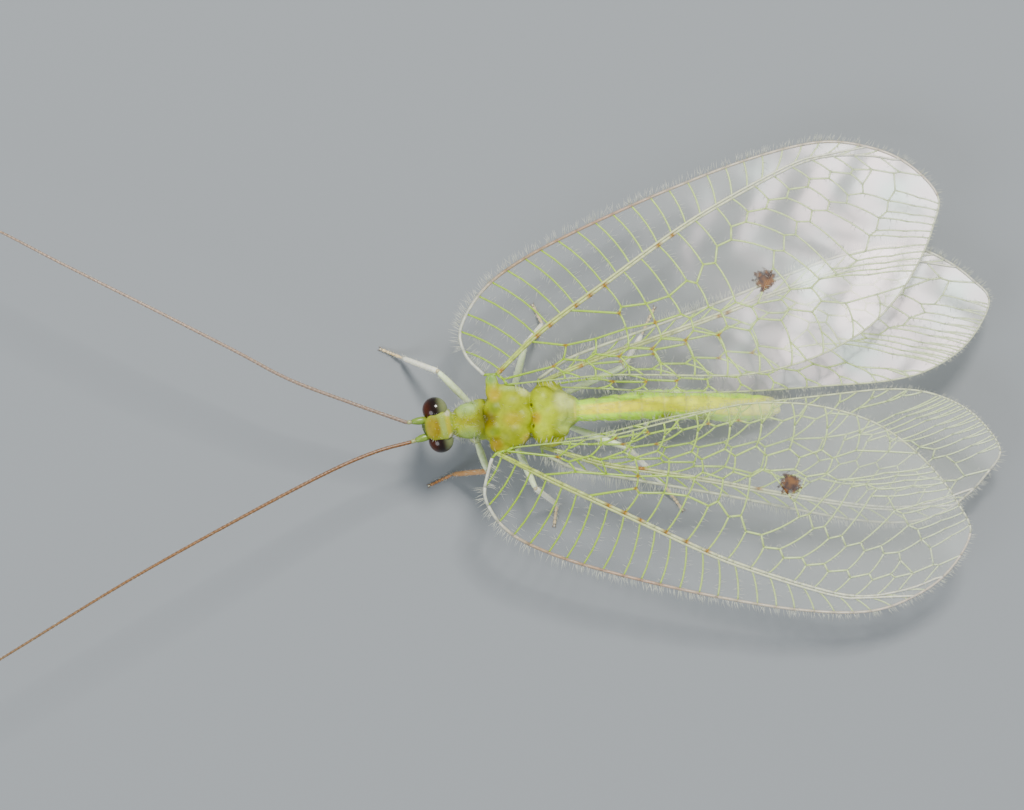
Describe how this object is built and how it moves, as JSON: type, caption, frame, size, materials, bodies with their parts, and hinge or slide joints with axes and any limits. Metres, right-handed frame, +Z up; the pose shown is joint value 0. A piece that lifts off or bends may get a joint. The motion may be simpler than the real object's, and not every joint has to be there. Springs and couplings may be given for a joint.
{
  "type": "green lacewing",
  "caption": "Life-size still model of a green lacewing standing with its feelers forward and its clear, net-veined wings half spread over a slim green body.",
  "frame": {"origin": "on the floor, under the middle of the model's box", "axes": "+X from head to tail along the body, +Y to the animal's right, +Z up"},
  "size_m": [0.0363, 0.0174, 0.0043],
  "materials": {
    "green_cuticle": "waxy, slightly translucent yellow-green cuticle",
    "pale_limb": "satin, pale green to straw cuticle",
    "feeler_cuticle": "matte beige to orange-brown cuticle",
    "compound_eye": "glossy, dark red-brown, finely faceted",
    "wing_membrane": "clear, faintly iridescent membrane with yellow-green to whitish veins"
  },
  "bodies": {
    "root": {"head": "green_cuticle", "mouthparts": "pale_limb", "eye_right": "compound_eye", "eye_left": "compound_eye", "antenna_right": "feeler_cuticle", "antenna_left": "feeler_cuticle", "prothorax": "green_cuticle", "mesothorax": "green_cuticle", "metathorax": "green_cuticle", "abdomen": "green_cuticle", "leg_front_right": "pale_limb", "leg_front_left": "pale_limb", "leg_mid_right": "pale_limb", "leg_mid_left": "pale_limb", "leg_hind_right": "pale_limb", "leg_hind_left": "pale_limb", "forewing_right": "wing_membrane", "forewing_left": "wing_membrane", "hindwing_right": "wing_membrane", "hindwing_left": "wing_membrane"}
  },
  "joints": []
}
